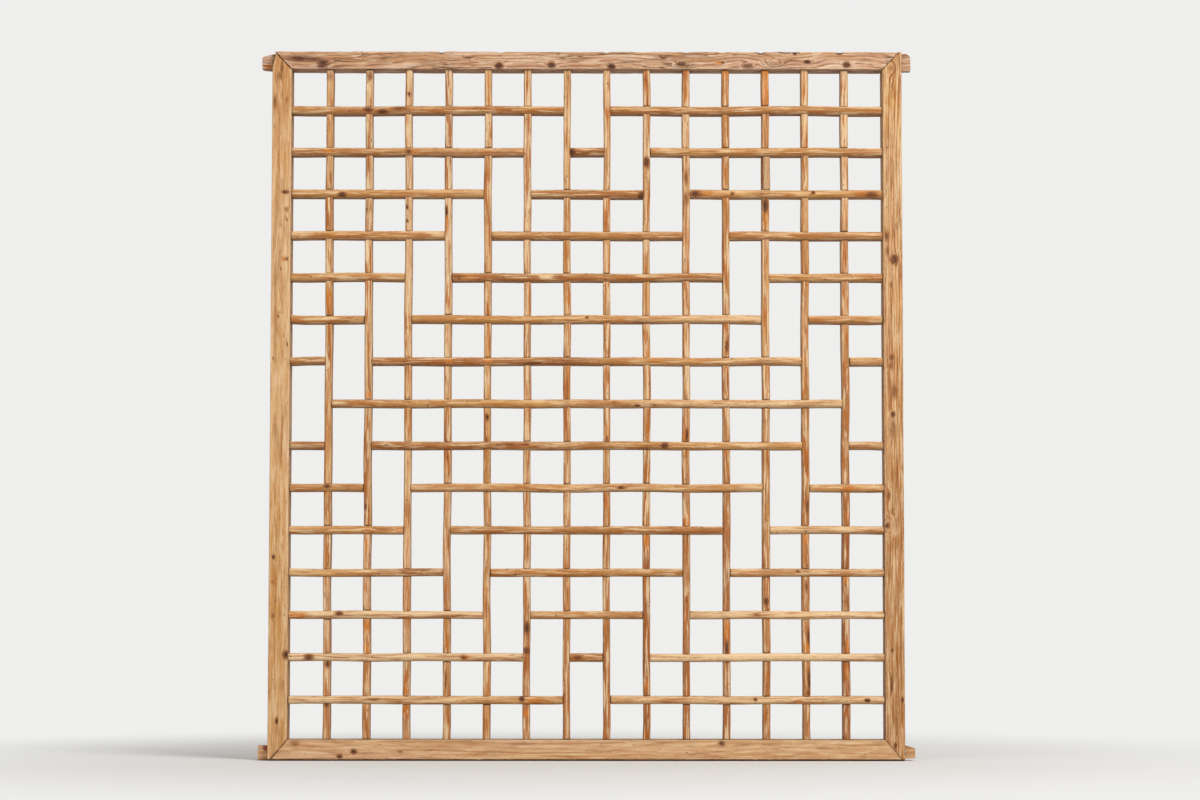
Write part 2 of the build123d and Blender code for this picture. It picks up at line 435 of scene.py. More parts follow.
@dataclass(frozen=True)
class AgedWood:
    """The finish of one kind of stick: old softwood, stripped of paint, worn and waxed."""

    name: str
    body: Colour = paint("dcaa71")
    warm: Colour = paint("cf9556")
    rose: Colour = paint("d9a985")
    late_wood: Colour = paint("9a5a2d")
    streak: Colour = paint("bf6c29")
    pale: Colour = paint("f1d2a7")
    char: Colour = paint("4e2f25")
    resin: Colour = paint("d5802f")
    old_paint: Colour = paint("8e3b34")
    # Dark brown for dirt in pores, cracks and joints; also used to paint shade and a contact
    # shadow.
    dirt_and_shade: Colour = paint("5c3a20")
    ring_spacing: float = 0.0030
    ring_strength: float = 0.8
    ring_ripple: float = 0.0011
    rose_share: float = 0.5
    streak_share: float = 0.5
    pale_share: float = 0.6
    mottle: float = 0.55
    crack_share: float = 0.35
    crack_width: float = 0.012
    # How strongly painted shade darkens flanks, undersides, inner sides and backs.
    side_shade: float = 0.5
    relief: float = 0.0005
    gloss: float = 0.18

    def late_rings(self, sketch: WoodSketch) -> Socket:
        """The rings' dark late wood, stronger in some rings than in others.

        Args:
            sketch: The material's nodes.

        Returns:
            How far the surface is late wood, from 0 to 1.
        """
        ripple = sketch.scaled(sketch.pattern(Figure.RING_RIPPLE), self.ring_ripple)
        radius = sketch.math("ADD", sketch.grain[1], ripple)
        turns = sketch.math("DIVIDE", radius, self.ring_spacing)
        place = sketch.math("FRACT", turns)
        number = sketch.place("TexWhiteNoise", noise_dimensions="1D")
        sketch.feed(number.inputs["W"], sketch.math("FLOOR", turns))
        rise = sketch.step(place, 0.35, 0.88)
        late = sketch.math("SUBTRACT", rise, sketch.step(place, 0.90, 1.0), clamp=True)
        patchy = sketch.step(sketch.pattern(Figure.RING_PATCHES), 0.3, 0.6)
        share = sketch.scaled(sketch.math("MULTIPLY", patchy, number.outputs["Value"]), 0.8, 0.35)
        return sketch.math("MULTIPLY", late, share)

    def ground(self, sketch: WoodSketch, deep: Socket, faded: Socket, resin: Socket) -> Socket:
        """The colour's slow changes along and across the wood.

        Args:
            sketch: The material's nodes.
            deep: How far the place is darker than the rest.
            faded: How far it is paler.
            resin: How far it is soaked with resin.

        Returns:
            The ground colour.
        """
        broad = sketch.step(sketch.pattern(Figure.GROUND), 0.38, 0.62)
        blush = sketch.step(sketch.pattern(Figure.BLUSH), 0.45, 0.66, self.rose_share)
        colour = sketch.blend(blush, sketch.blend(broad, self.warm, self.body), self.rose)
        colour = sketch.blend(deep, colour, self.late_wood)
        colour = sketch.blend(faded, colour, self.pale)
        return sketch.blend(sketch.step(resin, 0.15, 0.75, 0.9), colour, self.resin)

    def figured(self, sketch: WoodSketch, colour: Socket, late: Socket) -> Socket:
        """Lays rings, streaks and clouds over the ground.

        Args:
            sketch: The material's nodes.
            colour: The ground colour.
            late: The late wood's mask.

        Returns:
            The colour of sound wood.
        """
        colour = sketch.blend(sketch.scaled(late, self.ring_strength), colour, self.late_wood)
        streaks = sketch.pattern(Figure.STREAKS)
        clouds = sketch.pattern(Figure.CLOUDS)
        return sketch.layered(
            colour,
            (streaks, 0.50, 0.58, self.streak_share, self.streak),
            (streaks, 0.60, 0.68, self.streak_share, self.late_wood),
            (sketch.pattern(Figure.FADED), 0.53, 0.62, self.pale_share, self.pale),
            (clouds, 0.52, 0.72, self.mottle, self.late_wood),
            (clouds, 0.47, 0.27, self.mottle, self.pale),
        )

    def marked(self, sketch: WoodSketch, colour: Socket, marks: Parts, ragged: Socket,
               late: Socket) -> tuple[Socket, Socket]:
        """Lays knots, burns, old paint and bleached places over sound wood.

        Args:
            sketch: The material's nodes.
            colour: The colour of sound wood.
            marks: How near the place is to char, paint and bleach.
            ragged: A noise that breaks the marks' edges.
            late: The late wood's mask, which shows through.

        Returns:
            The colour, and the mask of the dark cores.
        """
        loose = sketch.scaled(ragged, 1.4, 0.3)
        char, flakes, bleach = (sketch.math("MULTIPLY", mark, loose) for mark in marks)
        colour = sketch.layered(
            colour,
            (bleach, 0.25, 0.7, 0.8, self.pale),
            (char, 0.05, 0.5, 0.8, self.late_wood),
            (flakes, 0.25, 0.55, 0.85, self.old_paint),
        )
        core = sketch.step(char, 0.25, 0.75)
        core = sketch.math("MULTIPLY", core, sketch.scaled(late, 0.4, 0.8), clamp=True)
        return sketch.blend(core, colour, self.char), core

    def cracks(self, sketch: WoodSketch) -> Socket:
        """Hair cracks that follow the grain, in some places only."""
        split = sketch.pattern(Figure.SPLITS)
        hair = sketch.math("ABSOLUTE", sketch.math("SUBTRACT", split, 0.5))
        places = sketch.pattern(Figure.SPLIT_PLACES)
        seldom = sketch.step(places, 0.46, 0.58, self.crack_share)
        return sketch.math("MULTIPLY", seldom, sketch.step(hair, self.crack_width, 0.002))

    def material(self) -> bpy.types.Material:
        """Builds the finish from what each mesh carries: grain, marks, tone, worn places, grime,
        painted highlight and painted shade.

        Returns:
            The material.
        """
        sketch = WoodSketch(self.name)
        wear_and_highlight, grime_and_foot_shadow, side = sketch.split("age")
        char, resin, bleach = sketch.split("marks")
        deep, faded, paint_left = sketch.split("tone")
        late = self.late_rings(sketch)
        ragged = sketch.pattern(Figure.RAGGED)
        fibre = sketch.pattern(Figure.FIBRES)
        pores = sketch.step(sketch.pattern(Figure.PORES), 0.63, 0.75)
        pits = sketch.step(sketch.pattern(Figure.PITS), 0.71, 0.77)

        colour = self.ground(sketch, deep, faded, resin)
        colour = self.figured(sketch, colour, late)
        colour = sketch.layered(
            colour, (resin, 0.3, 0.9, 0.35, self.resin), (fibre, 0.5, 0.8, 0.5, self.late_wood),
        )
        colour = sketch.blend(sketch.scaled(pores, 0.4), colour, self.dirt_and_shade)
        colour = sketch.blend(sketch.scaled(pits, 0.75), colour, self.char)
        # Worn arrises go pale, and the crossbars' upward faces get a painted highlight.
        rubbed_and_highlit = sketch.math("MULTIPLY", wear_and_highlight, sketch.step(ragged, 0.3, 0.6, 0.65))
        colour = sketch.blend(rubbed_and_highlit, colour, self.pale)
        colour, core = self.marked(sketch, colour, (char, paint_left, bleach), ragged, late)
        crack = self.cracks(sketch)
        colour = sketch.blend(crack, colour, self.dirt_and_shade)
        # Joint grime, with a painted contact shadow along the frame's foot.
        ragged_grime_and_shadow = sketch.math("MULTIPLY", grime_and_foot_shadow, sketch.step(ragged, 0.2, 0.55, 0.85))
        colour = sketch.blend(ragged_grime_and_shadow, colour, self.dirt_and_shade)
        # Painted shade: flanks, undersides, inner sides and backs darkened towards the dark brown.
        colour = sketch.blend(sketch.scaled(side, self.side_shade), colour, self.dirt_and_shade)

        rough = sketch.scaled(fibre, 0.3, 0.42)
        rough = sketch.math("ADD", rough, sketch.scaled(sketch.math("MAXIMUM", core, crack), 0.2))
        rough = sketch.math("ADD", rough, sketch.scaled(side, 0.2), clamp=True)
        height = sketch.scaled(fibre, 0.45)
        for dip, depth in ((late, 0.35), (pores, 0.4), (pits, 0.7), (crack, 1.0), (core, 0.4)):
            height = sketch.math("SUBTRACT", height, sketch.scaled(dip, depth))

        bump = sketch.place("Bump")
        for name, value in (("Strength", 0.7), ("Distance", self.relief), ("Height", height)):
            sketch.feed(bump.inputs[name], value)
        shader = sketch.place("BsdfPrincipled")
        surface = {"Base Color": colour, "Roughness": rough, "Normal": bump.outputs["Normal"],
                   "Specular IOR Level": self.gloss}
        for name, value in surface.items():
            sketch.feed(shader.inputs[name], value)
        sketch.output("Material", shader.outputs["BSDF"])
        return sketch.holder


@dataclass(frozen=True)
class Look:
    """What one vertex tells the finish."""

    grain: Vector
    marks: Vector
    # Wear, grime and painted shade; it also carries a painted highlight and a painted contact
    # shadow.
    age: Vector
    tone: Vector


@dataclass
class Stick:
    """One stick of timber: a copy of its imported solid, cut into stations, worn and dressed."""

    node: str
    slot: str
    finish: bpy.types.Material
    grain: Grain
    log: Log
    spots: tuple[Spot, ...]
    station: float
    seed: int

    def __post_init__(self) -> None:
        """Takes the stick's middle line and ends from its packed box."""
        self.low, self.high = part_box(self.node)
        self.axis = self.grain.value
        self.side = self.grain.across
        self.middle = (self.low[self.side] + self.high[self.side]) / 2
        self.dice = Random(self.seed)

    def copy_solid(self) -> bmesh.types.BMesh:
        """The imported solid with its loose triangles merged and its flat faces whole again."""
        solid = bmesh.new()
        solid.from_mesh(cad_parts[self.node].data)
        bmesh.ops.remove_doubles(solid, verts=solid.verts, dist=MERGE_DISTANCE)
        bmesh.ops.dissolve_limit(
            solid, angle_limit=FLAT_ANGLE, verts=solid.verts, edges=solid.edges,
        )
        return solid

    def slice(self, solid: bmesh.types.BMesh, axis: int, places: Iterable[float]) -> None:
        """Cuts every face by planes square to one axis, from its low end to its high end.

        Args:
            solid: The mesh to cut.
            axis: The axis that the planes are square to.
            places: Where each plane is on that axis.
        """
        square = Vector([float(axis == i) for i in range(3)])
        faces = list(solid.faces)
        for place in sorted(places):
            faces = [f for f in faces if max(v.co[axis] for v in f.verts) > place + SAME_PLANE]
            if not faces:
                break
            edges = {e for f in faces for e in f.edges}
            corners = {v for f in faces for v in f.verts}
            cut = bmesh.ops.bisect_plane(
                solid, geom=[*corners, *edges, *faces], dist=SAME_PLANE,
                plane_co=square * place, plane_no=square,
            )
            faces = [g for g in cut["geom"] if isinstance(g, bmesh.types.BMFace)]

    def even_cuts(self, axis: int, pitch: float) -> list[float]:
        """Evenly spaced places on an axis, from the stick's low side to its high side."""
        low, high = self.low[axis], self.high[axis]
        count = round((high - low) / pitch)
        step = (high - low) / count
        return [low + step * i for i in range(1, count)]

    def stations(self) -> list[float]:
        """Places along the stick where its section is read and worn."""
        return self.even_cuts(self.axis, self.station)

    def survey(self, solid: bmesh.types.BMesh) -> None:
        """Notes what the coarse faces say, before they are cut."""

    def long_cuts(self) -> list[tuple[int, list[float]]]:
        """Axes and places of the cuts that run the length of the stick."""
        raise NotImplementedError

    def move(self, rest: Vector, outward: Vector) -> Vector:
        """How hand work and the wearing of the wood move a point of the surface."""
        raise NotImplementedError

    def age(self, rest: Vector, outward: Vector) -> Vector:
        """How worn and grimy a point of the surface is, and how much painted highlight and painted
        shade its colour gets.
        """
        raise NotImplementedError

    def tone(self, rest: Vector) -> float:
        """How much deeper the wood's colour is there than the finish's own; below 0 is paler."""
        return 0.0

    def behind_front(self, rest: Vector) -> float:
        """How far a point lies behind the stick's front."""
        return rest.y - self.low.y

    def look(self, rest: Vector, outward: Vector) -> Look:
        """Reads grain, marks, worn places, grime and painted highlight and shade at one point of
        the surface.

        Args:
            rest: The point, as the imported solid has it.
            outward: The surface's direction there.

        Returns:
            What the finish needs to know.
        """
        along = rest[self.axis]
        across = rest[self.side] - self.middle
        radius = self.log.ring_radius(along, across, rest.y, self.spots)
        skin = 1 - ease(self.behind_front(rest) / SPOT_DEPTH)
        near = dict.fromkeys(Mark, 0.0)
        for spot in self.spots:
            here = skin * spot.strength * spot.nearness(along, across)
            near[spot.kind] = max(near[spot.kind], here)
        grain = Vector((self.log.start + along, radius, across + GRAIN_SLANT * rest.y))
        marks = Vector((near[Mark.CHAR], near[Mark.RESIN], near[Mark.BLEACH]))
        tone = self.tone(rest)
        tones = Vector((max(0.0, tone), max(0.0, -tone), near[Mark.PAINT]))
        return Look(grain, marks, self.age(rest, outward), tones)

    def build(self) -> bpy.types.Object:
        """Makes the finished piece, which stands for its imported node.

        Returns:
            The piece, riding on the panel's one body.
        """
        solid = self.copy_solid()
        self.survey(solid)
        self.slice(solid, self.axis, self.stations())
        for axis, places in self.long_cuts():
            self.slice(solid, axis, places)
        solid.normal_update()
        solid.verts.ensure_lookup_table()
        looks = []
        moves = []
        for vertex in solid.verts:
            looks.append(self.look(vertex.co, vertex.normal))
            moves.append(self.move(vertex.co, vertex.normal))
        for vertex, move in zip(solid.verts, moves):
            vertex.co += move
        many_sided = [f for f in solid.faces if len(f.verts) > 4]
        bmesh.ops.triangulate(solid, faces=many_sided)
        for face in solid.faces:
            face.smooth = True
        for edge in solid.edges:
            edge.smooth = edge.calc_face_angle(0.0) < SHARP_ANGLE
        mesh = bpy.data.meshes.new(self.node + "_timber")
        solid.to_mesh(mesh)
        solid.free()
        if "custom_normal" in mesh.attributes:
            mesh.attributes.remove(mesh.attributes["custom_normal"])
        for part in fields(Look):
            layer = mesh.attributes.new(part.name, "FLOAT_VECTOR", "POINT")
            numbers = [c for look in looks for c in getattr(look, part.name)]
            layer.data.foreach_set("vector", numbers)
        mesh.materials.clear()
        mesh.materials.append(self.finish)
        piece = bpy.data.objects.new(self.node + "_aged", mesh)
        bpy.context.scene.collection.objects.link(piece)
        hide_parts(self.node)
        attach(piece, BODY)
        log.info("%s: %d faces", piece.name, len(mesh.polygons))
        return piece


@dataclass
class LatticeBar(Stick):
    """A bar of the lattice, worn by hand and half-lapped over the bars that it crosses."""

    hands: HandWork
    lap: float
    deeper: tuple[float, float] = (0.0, 0.0)
    front_reach: float = 0.004
    face_cuts: tuple[float, ...] = (-0.6, -0.2, 0.2, 0.6)
    flank_cut: float = 0.006
    shoulder_cuts: tuple[float, ...] = (0.35, 1.0)
    shut_share: float = 0.65
    shut_gap: float = 0.00005
    least_gap: float = 0.0002
    widest_gap: float = 0.0007
    turned_away: float = 0.001
    ease_length: float = 0.0018
    end_round: float = 0.00035
    lap_skin: float = 0.0002
    front_depth: float = 0.011
    back_depth: float = 0.012
    ripple_length: float = 0.028
    ripple_step: float = 1.37
    front_ripple: float = 0.00042
    back_ripple: float = 0.0003
    arris_share: float = 0.55
    arris_fade: float = 0.4
    arris_wear: float = 0.4
    # Painted highlight on the crossbars' upward faces.
    crown_highlight: float = 0.6
    least_grime: float = 0.08
    gap_grime: float = 0.8
    grime_reach: float = 0.0025
    front_light: float = 0.6
    under_from: float = 0.02
    under_fade: float = 0.7
    top_from: float = 0.8
    top_fade: float = 0.2
    top_shade: float = 0.6
    rear_shade: float = 0.5

    def shoulders_of(self, solid: bmesh.types.BMesh) -> list[tuple[float, int, float]]:
        """Finds the front half's end faces, which meet another stick.

        Args:
            solid: The stick's coarse faces.

        Returns:
            For each, its place along, the way it faces and the gap that it has opened.
        """
        found = set()
        for face in solid.faces:
            facing = face.normal[self.axis]
            reaches_front = min(v.co.y for v in face.verts) < self.low.y + self.front_reach
            if abs(facing) > SQUARE_ON and reaches_front:
                place = face.calc_center_median()[self.axis]
                found.add((round(place, 6), 1 if facing > 0 else -1))
        shoulders = []
        for place, facing in sorted(found):
            shut = self.dice.random() < self.shut_share
            gap = self.shut_gap if shut else self.dice.uniform(self.least_gap, self.widest_gap)
            shoulders.append((place, facing, gap))
        return shoulders

    def survey(self, solid: bmesh.types.BMesh) -> None:
        """Notes the shoulders."""
        self.shoulders = self.shoulders_of(solid)
        self.places = [s[0] for s in self.shoulders]
        self.half = (self.high[self.side] - self.low[self.side]) / 2

    def long_cuts(self) -> list[tuple[int, list[float]]]:
        """Four cuts along the face, two along the flanks."""
        across = [self.middle + self.half * share for share in self.face_cuts]
        flanks = [self.lap - self.flank_cut, self.lap + self.flank_cut]
        return [(self.side, across), (DEPTH, flanks)]

    def stations(self) -> list[float]:
        """Adds two close stations behind each shoulder to the even ones."""
        extra = []
        for place, facing, _ in self.shoulders:
            extra += [place - facing * self.ease_length * share for share in self.shoulder_cuts]
        return super().stations() + extra

    def from_shoulder(self, along: float) -> tuple[float, int, float]:
        """The nearest shoulder.

        Args:
            along: Place along the stick.

        Returns:
            The distance to it, the way it faces and its gap.
        """
        choices = []
        at = bisect_left(self.places, along)
        for place, facing, gap in self.shoulders[max(0, at - 1):at + 2]:
            away = self.turned_away if (place - along) * facing < -SAME_PLANE else 0.0
            choices.append((abs(place - along) + away, abs(place - along), facing, gap))
        return min(choices, key=itemgetter(0))[1:]

    def in_front(self, rest: Vector) -> float:
        """How far a point lies in the bar's front half, from 0 to 1."""
        return ease((self.lap - rest.y) / self.front_depth)

    def move(self, rest: Vector, outward: Vector) -> Vector:
        """Hand work over the whole bar, and eased ends at the shoulders."""
        shift = self.hands.drift(rest)
        back = ease((rest.y - self.lap) / self.back_depth)
        wave = Vector((rest.x / self.ripple_length, 0, rest.z / self.ripple_length))
        wave.y = self.seed * self.ripple_step
        depth = self.front_ripple * self.in_front(rest) + self.back_ripple * back
        shift.y += noise.noise(wave) * depth
        if rest.y < self.lap - self.lap_skin and self.shoulders:
            distance, facing, gap = self.from_shoulder(rest[self.axis])
            near = 1 - ease(distance / self.ease_length)
            shift[self.axis] -= facing * gap * near
            inward = -outward.copy()
            inward[self.axis] = 0
            shift += inward * self.end_round * near * near
        return shift

    def age(self, rest: Vector, outward: Vector) -> Vector:
        """Worn at the front arrises, grimy at the joints, with a painted highlight on top and
        painted shade on the flanks and undersides.
        """
        front = self.in_front(rest)
        share = abs(rest[self.side] - self.middle) / self.half
        rubbed_and_highlit = ease((share - self.arris_share) / self.arris_fade) * front * self.arris_wear
        # Painted shade on the flanks, lighter near the front.
        flank = abs(outward[self.side]) * (1 - front * self.front_light)
        if self.grain is Grain.LEVEL:
            # Painted highlight: upward faces near the front paled as if lit from above.
            rubbed_and_highlit += max(0.0, outward.z) * front * self.crown_highlight
            # Painted shade on the undersides, and on the tops behind the front.
            under = ease((-outward.z - self.under_from) / self.under_fade)
            top = self.top_shade * ease((outward.z - self.top_from) / self.top_fade)
            flank = under + top * (1 - front)
        grime_and_foot_shadow = 0.0
        if self.shoulders:
            distance, _, gap = self.from_shoulder(rest[self.axis])
            grime_and_foot_shadow = self.least_grime + self.gap_grime * gap / self.widest_gap
            grime_and_foot_shadow *= 1 - ease(distance / self.grime_reach)
        # Painted shade on the back faces.
        rear = self.rear_shade * max(0.0, outward.y)
        return Vector((min(1.0, rubbed_and_highlit), grime_and_foot_shadow, min(1.0, flank + rear)))

    def tone(self, rest: Vector) -> float:
        """Changes evenly from the bar's low or left end to its other end."""
        low, high = self.low[self.axis], self.high[self.axis]
        first, second = self.deeper
        return first + (second - first) * ease((rest[self.axis] - low) / (high - low))


@dataclass
class FrameMember(Stick):
    """A rail or stile of the outer frame, weathered on every face."""

    pitch: float
    worn: float
    groove: float
    ring_spacing: float
    nicks: tuple[Nick, ...] = ()
    tones: tuple[tuple[float, float], ...] = ((0.0, 0.0),)
    depth_pitch: float = 0.004
    wave_length: float = 0.07
    wave_width: float = 0.012
    even_wear: float = 0.45
    late_middle: float = 0.72
    late_reach: float = 0.28
    nick_width: float = 0.005
    nick_depth: float = 0.008
    nick_fade: float = 0.012
    foot_height: float = 0.004
    foot_wear: float = 0.0018
    foot_front: float = -0.012
    foot_fade: float = 0.007
    # Painted contact shadow along the foot: its height, and a fade shared with the horns' joint
    # grime.
    foot_shadow_height: float = 0.0035
    grime_and_shadow_fade: float = 0.003
    mitre_turn: float = 0.15
    mitre_fade: float = 0.2
    mitre_grime: float = 0.6
    mitre_gap: float = 0.0001
    arris_reach: float = 0.0028
    hidden_from: float = 0.0005
    hidden_fade: float = 0.001
    horn_grime: float = 0.5
    inner_shade: float = 0.8
    back_shade: float = 0.3

    def __post_init__(self) -> None:
        """Also notes which of its long sides is the panel's outer one."""
        super().__post_init__()
        centre = (cad_bounds[0][self.side] + cad_bounds[1][self.side]) / 2
        self.outer = 1 if self.middle > centre else -1
        self.outer_edge = self.high[self.side] if self.outer > 0 else self.low[self.side]

    def long_cuts(self) -> list[tuple[int, list[float]]]:
        """Fine cuts along the front, and wider ones from front to back."""
        pitches = ((self.side, self.pitch), (DEPTH, self.depth_pitch))
        return [(axis, self.even_cuts(axis, pitch)) for axis, pitch in pitches]

    def at_mitre(self, outward: Vector) -> float:
        """Whether the surface there turns into a mitred joint, from 0 to 1."""
        turned = min(abs(outward.x), abs(outward.z))
        return ease((turned - self.mitre_turn) / self.mitre_fade)

    def edge_distances(self, rest: Vector) -> list[float]:
        """How far a point is from the member's long sides and from its front or back."""
        return [min(rest[i] - self.low[i], self.high[i] - rest[i]) for i in (self.side, DEPTH)]

    def behind_front(self, rest: Vector) -> float:
        """A horn's front stands further back than the member's, and is counted from there."""
        return super().behind_front(rest) - (HORN_SET_BACK if abs(rest.x) > HORN_ROOT else 0.0)

    def late_wood(self, rest: Vector) -> float:
        """How far a point lies in the dark half of its ring, from 0 to 1."""
        across = rest[self.side] - self.middle
        radius = self.log.ring_radius(rest[self.axis], across, rest.y, self.spots)
        place = (radius / self.ring_spacing) % 1.0
        return ease(1 - abs(place - self.late_middle) / self.late_reach)

    def move(self, rest: Vector, outward: Vector) -> Vector:
        """Wear takes wood off: low waves, grooves along the rings and dents in the outer edge."""
        stretch = Vector([self.wave_width] * 3)
        stretch[self.axis] = self.wave_length
        place = Vector([rest[i] / stretch[i] for i in range(3)])
        wave = noise.noise(place + Vector((self.seed, 0, 0)))
        depth = self.worn * (self.even_wear + (1 - self.even_wear) * wave)
        depth += self.groove * self.late_wood(rest)
        shift = -outward * max(0.0, depth)
        near_edge = 1 - ease(abs(rest[self.side] - self.outer_edge) / self.nick_width)
        near_front = 1 - ease((rest.y - self.low.y - self.nick_depth) / self.nick_fade)
        bite = sum(nick.bite(rest[self.axis]) for nick in self.nicks)
        shift[self.side] -= self.outer * bite * near_edge * near_front
        foot = max(0.0, 1 - rest.z / self.foot_height)
        shift.z += self.foot_wear * foot * ease((self.foot_front - rest.y) / self.foot_fade)
        joint = self.mitre_gap * self.at_mitre(outward)
        shift -= Vector((math.copysign(joint, outward.x), 0, math.copysign(joint, outward.z)))
        held = [min(max(rest[i] + shift[i], self.low[i]), self.high[i]) for i in range(3)]
        return Vector(held) - rest

    def age(self, rest: Vector, outward: Vector) -> Vector:
        """Worn along the arrises, grimy inside the joints, with painted shade on the inner sides
        and back and a painted contact shadow at the foot.
        """
        beside, ahead = self.edge_distances(rest)
        arris = 1 - ease(max(beside, ahead) / self.arris_reach)
        hidden = ease((min(beside, ahead) - self.hidden_from) / self.hidden_fade)
        if abs(rest.x) > HORN_ROOT:
            hidden = self.horn_grime * (1 - ease((abs(rest.x) - HORN_ROOT) / self.grime_and_shadow_fade))
            arris = 0.0
        joint = self.at_mitre(outward)
        # Painted contact shadow along the foot.
        foot = ease((self.foot_shadow_height - rest.z) / self.grime_and_shadow_fade)
        grime_and_foot_shadow = max(hidden, self.mitre_grime * joint, foot)
        # Painted shade on the inner sides and the back.
        flank = self.inner_shade * max(0.0, -self.outer * outward[self.side])
        flank += self.back_shade * max(0.0, outward.y)
        return Vector((arris * (1 - foot) * (1 - joint), grime_and_foot_shadow, min(1.0, flank)))

    def tone(self, rest: Vector) -> float:
        """Read between the places where the member's tone is known."""
        along = rest[self.axis]
        for (low, first), (high, second) in zip(self.tones, self.tones[1:]):
            if low <= along <= high:
                return first + (second - first) * ease((along - low) / (high - low))
        return self.tones[0][1] if along < self.tones[0][0] else self.tones[-1][1]


@dataclass(frozen=True)
class OuterFrame:
    """The two rails and two stiles that hold the lattice."""

    rail_top: bpy.types.Material
    rail_bottom: bpy.types.Material
    stile_left: bpy.types.Material
    stile_right: bpy.types.Material

    def build(self) -> list[bpy.types.Object]:
        """Makes the four members.

        Returns:
            The finished pieces.
        """
        top = FrameMember(
            "rail_top", "top_rail_wood", self.rail_top, Grain.LEVEL,
            Log(heart_across=-0.02, heart_depth=0.004, start=3.0, bend=0.006, bend_length=0.1,
                ripple=0.0022),
            TOP_RAIL_SPOTS, station=0.0018, seed=11, pitch=0.0013, worn=0.0007, groove=0.0006,
            ring_spacing=0.0032, nicks=TOP_RAIL_NICKS,
        )
        bottom = FrameMember(
            "rail_bottom", "bottom_rail_wood", self.rail_bottom, Grain.LEVEL,
            Log(heart_across=0.05, heart_depth=0.03, start=11.0, bend=0.006, bend_length=0.3),
            BOTTOM_RAIL_SPOTS, station=0.0026, seed=12, pitch=0.002, worn=0.0003, groove=0.0,
            ring_spacing=0.0045,
        )
        left = FrameMember(
            "stile_left", "stile_wood", self.stile_left, Grain.UPRIGHT,
            Log(heart_across=-0.03, heart_depth=0.02, start=17.0, bend=0.006, bend_length=0.3),
            LEFT_STILE_SPOTS, station=0.0026, seed=13, pitch=0.002, worn=0.0004, groove=0.0,
            ring_spacing=0.0045, tones=LEFT_STILE_TONES, mitre_grime=1.0, mitre_gap=0.00045,
        )
        right = FrameMember(
            "stile_right", "stile_wood", self.stile_right, Grain.UPRIGHT,
            Log(heart_across=0.06, heart_depth=0.01, start=23.0, bend=0.003, bend_length=0.22),
            RIGHT_STILE_SPOTS, station=0.0026, seed=14, pitch=0.002, worn=0.0005, groove=0.0002,
            ring_spacing=0.0036, tones=RIGHT_STILE_TONES,
        )
        return [member.build() for member in (top, bottom, left, right)]


@dataclass(frozen=True)
class Lattice:
    """The uprights and crossbars, half-lapped over each other, and one upright's patch."""

    hands: HandWork
    upright: bpy.types.Material
    crossbar: bpy.types.Material
    patch: bpy.types.Material
    lap: float = -0.005
    station: float = 0.004
    bend: float = 0.0022
    upright_tone: tuple[float, float] = (0.16, -0.2)
    # Painted shade and light by row: deeper at the top rows, paler at the foot.
    top_row_tone: float = 0.26
    tone_fall: float = 0.42
    fall_from: int = 3
    fall_rows: int = 10

    def bar(self, node: str, slot: str, finish: bpy.types.Material, grain: Grain,
            deeper: tuple[float, float] = (0.0, 0.0)) -> LatticeBar:
        """One bar, sawn from a log of its own, deeper or paler than its neighbours."""
        seed = sum(ord(letter) * place for place, letter in enumerate(node, SEED_FACTOR))
        dice = Random(seed)
        drawn = Log.drawn(dice, self.bend)
        own = dice.uniform(*OWN_TONE)
        tones = zip(deeper, BAR_TONES.get(node, (0.0, 0.0)))
        ends = tuple(shared + read + own for shared, read in tones)
        return LatticeBar(
            node, slot, finish, grain, drawn, LATTICE_SPOTS.get(node, ()), self.station, seed,
            hands=self.hands, lap=self.lap, deeper=ends,
        )

    def row_shading(self, node: str) -> tuple[float, float]:
        """Painted shade makes the crossbars darker at the top of the panel, and painted light makes
        them paler at its foot.
        """
        row = int(node.split("_")[1])
        tone = self.top_row_tone - self.tone_fall * ease((row - self.fall_from) / self.fall_rows)
        return tone, tone

    def build(self) -> list[bpy.types.Object]:
        """Makes every bar in turn.

        Returns:
            The finished pieces.
        """
        pieces = []
        for node in sorted(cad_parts):
            if node.endswith("_patch"):
                bar = self.bar(node, "patch_wood", self.patch, Grain.UPRIGHT)
            elif node.startswith("upright"):
                tones = self.upright_tone
                bar = self.bar(node, "upright_wood", self.upright, Grain.UPRIGHT, tones)
            elif node.startswith("crossbar"):
                tones = self.row_shading(node)
                bar = self.bar(node, "crossbar_wood", self.crossbar, Grain.LEVEL, tones)
            else:
                continue
            pieces.append(bar.build())
        return pieces


